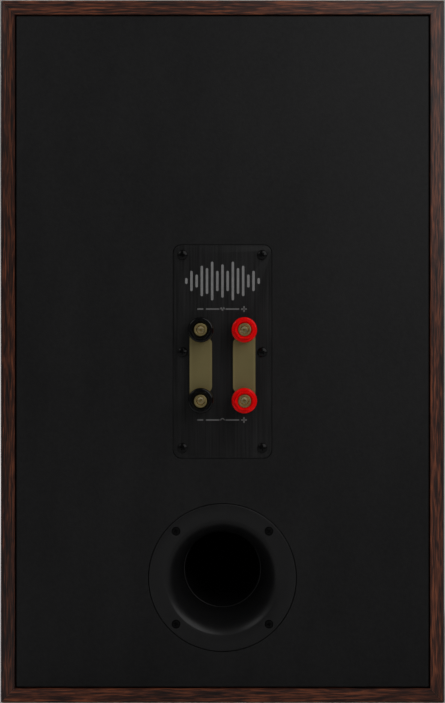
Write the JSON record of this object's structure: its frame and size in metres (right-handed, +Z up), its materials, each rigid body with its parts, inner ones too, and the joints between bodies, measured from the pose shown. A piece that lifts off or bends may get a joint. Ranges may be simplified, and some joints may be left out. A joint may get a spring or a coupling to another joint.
{
  "type": "bookshelf speaker",
  "caption": "Two-way bookshelf speaker with a veneered cabinet, rear bass port, flush terminal plate, screw binding posts and jumper straps.",
  "frame": {"origin": "middle of the cabinet's bottom face", "axes": "+Z up, -Y the way the drivers face, +Y out of the back, +X to the right of someone looking at the front"},
  "size_m": [0.24, 0.3175, 0.38],
  "materials": {
    "walnut_veneer": "satin dark walnut veneer, grain along each board",
    "black_vinyl": "fine-grained black vinyl over board",
    "raw_board": "raw fibreboard",
    "port_plastic": "satin black moulded plastic",
    "terminal_plate_black": "vertically brushed black",
    "screw_black": "blackened steel",
    "gold_plate": "gold-plated brass",
    "knob_black": "glossy black",
    "knob_red": "glossy translucent red",
    "driver_frame_black": "satin black paint",
    "cone_black": "woven black cone",
    "surround_rubber": "matt butyl rubber",
    "spider_cloth": "impregnated yellow cloth",
    "ferrite": "dark grey ferrite",
    "motor_steel": "zinc-plated steel",
    "coil_former": "aluminium former with copper winding",
    "dome_silk": "coated black silk",
    "damping_foam": "open-cell grey foam",
    "circuit_board": "green laminate",
    "copper_winding": "enamelled copper wire",
    "capacitor_film": "yellow film wrap",
    "ceramic": "white ceramic",
    "print_grey": "light grey printed marks"
  },
  "bodies": {
    "cabinet": {"top_panel": "walnut_veneer", "bottom_panel": "walnut_veneer", "left_side_panel": "walnut_veneer", "right_side_panel": "walnut_veneer", "front_baffle": "black_vinyl", "rear_panel": "black_vinyl", "cabinet_brace": "raw_board", "port_flange": "port_plastic", "port_tube": "port_plastic", "port_screw_1": "screw_black", "port_screw_2": "screw_black", "port_screw_3": "screw_black", "port_screw_4": "screw_black", "terminal_plate": "terminal_plate_black", "terminal_screw_1": "screw_black", "terminal_screw_2": "screw_black", "terminal_screw_3": "screw_black", "terminal_screw_4": "screw_black", "terminal_screw_5": "screw_black", "terminal_screw_6": "screw_black", "post_core_treble_negative": "gold_plate", "post_core_treble_positive": "gold_plate", "post_core_bass_negative": "gold_plate", "post_core_bass_positive": "gold_plate", "woofer_frame": "driver_frame_black", "woofer_top_plate": "motor_steel", "woofer_magnet": "ferrite", "woofer_pole_piece": "motor_steel", "woofer_surround": "surround_rubber", "woofer_spider": "spider_cloth", "tweeter_faceplate": "driver_frame_black", "tweeter_motor": "ferrite", "crossover_board": "circuit_board", "crossover_inductor": "copper_winding", "crossover_capacitor": "capacitor_film", "crossover_resistor": "ceramic", "damping_foam_top": "damping_foam", "damping_foam_bottom": "damping_foam", "woofer_screw_1": "screw_black", "woofer_screw_2": "screw_black", "woofer_screw_3": "screw_black", "woofer_screw_4": "screw_black", "tweeter_screw_1": "screw_black", "tweeter_screw_2": "screw_black", "tweeter_screw_3": "screw_black", "tweeter_screw_4": "screw_black"},
    "woofer_moving": {"woofer_cone": "cone_black", "woofer_dust_cap": "cone_black", "woofer_voice_coil": "coil_former"},
    "tweeter_moving": {"tweeter_dome": "dome_silk"},
    "washer_treble_negative": {"post_washer_treble_negative": "gold_plate"},
    "knob_treble_negative": {"post_knob_treble_negative": "knob_black"},
    "washer_treble_positive": {"post_washer_treble_positive": "gold_plate"},
    "knob_treble_positive": {"post_knob_treble_positive": "knob_red"},
    "washer_bass_negative": {"post_washer_bass_negative": "gold_plate"},
    "knob_bass_negative": {"post_knob_bass_negative": "knob_black"},
    "washer_bass_positive": {"post_washer_bass_positive": "gold_plate"},
    "knob_bass_positive": {"post_knob_bass_positive": "knob_red"},
    "strap_negative": {"jumper_strap_negative": "gold_plate"},
    "strap_positive": {"jumper_strap_positive": "gold_plate"}
  },
  "joints": [
    {"name": "woofer_stroke", "type": "slide", "parent": "cabinet", "child": "woofer_moving", "axis": [0, -1, 0], "range_m": [-0.005, 0.005], "stiffness_N_per_m": 1000, "deforming": ["woofer_surround", "woofer_spider"]},
    {"name": "tweeter_stroke", "type": "slide", "parent": "cabinet", "child": "tweeter_moving", "axis": [0, -1, 0], "range_m": [-0.0005, 0.0005], "stiffness_N_per_m": 100},
    {"name": "washer_slide_treble_negative", "type": "slide", "parent": "cabinet", "child": "washer_treble_negative", "axis": [0, 1, 0], "range_m": [0, 0.004]},
    {"name": "knob_turn_treble_negative", "type": "hinge", "parent": "washer_treble_negative", "child": "knob_treble_negative", "pos_m": [0.0117, 0.1492, 0.2016], "axis": [0, 1, 0], "range_deg": [0, 1800]},
    {"name": "washer_slide_treble_positive", "type": "slide", "parent": "cabinet", "child": "washer_treble_positive", "axis": [0, 1, 0], "range_m": [0, 0.004]},
    {"name": "knob_turn_treble_positive", "type": "hinge", "parent": "washer_treble_positive", "child": "knob_treble_positive", "pos_m": [-0.0117, 0.1492, 0.2016], "axis": [0, 1, 0], "range_deg": [0, 1800]},
    {"name": "washer_slide_bass_negative", "type": "slide", "parent": "cabinet", "child": "washer_bass_negative", "axis": [0, 1, 0], "range_m": [0, 0.004]},
    {"name": "knob_turn_bass_negative", "type": "hinge", "parent": "washer_bass_negative", "child": "knob_bass_negative", "pos_m": [0.0117, 0.1492, 0.1637], "axis": [0, 1, 0], "range_deg": [0, 1800]},
    {"name": "washer_slide_bass_positive", "type": "slide", "parent": "cabinet", "child": "washer_bass_positive", "axis": [0, 1, 0], "range_m": [0, 0.004]},
    {"name": "knob_turn_bass_positive", "type": "hinge", "parent": "washer_bass_positive", "child": "knob_bass_positive", "pos_m": [-0.0117, 0.1492, 0.1637], "axis": [0, 1, 0], "range_deg": [0, 1800]},
    {"name": "strap_slide_negative", "type": "slide", "parent": "cabinet", "child": "strap_negative", "axis": [1, 0, 0], "range_m": [0, 0.02]},
    {"name": "strap_slide_positive", "type": "slide", "parent": "cabinet", "child": "strap_positive", "axis": [-1, 0, 0], "range_m": [0, 0.02]}
  ],
  "couplings": [
    {"joint": "knob_turn_treble_negative", "follows": "washer_slide_treble_negative", "rad_per_m": 7854},
    {"joint": "knob_turn_treble_positive", "follows": "washer_slide_treble_positive", "rad_per_m": 7854},
    {"joint": "knob_turn_bass_negative", "follows": "washer_slide_bass_negative", "rad_per_m": 7854},
    {"joint": "knob_turn_bass_positive", "follows": "washer_slide_bass_positive", "rad_per_m": 7854}
  ]
}
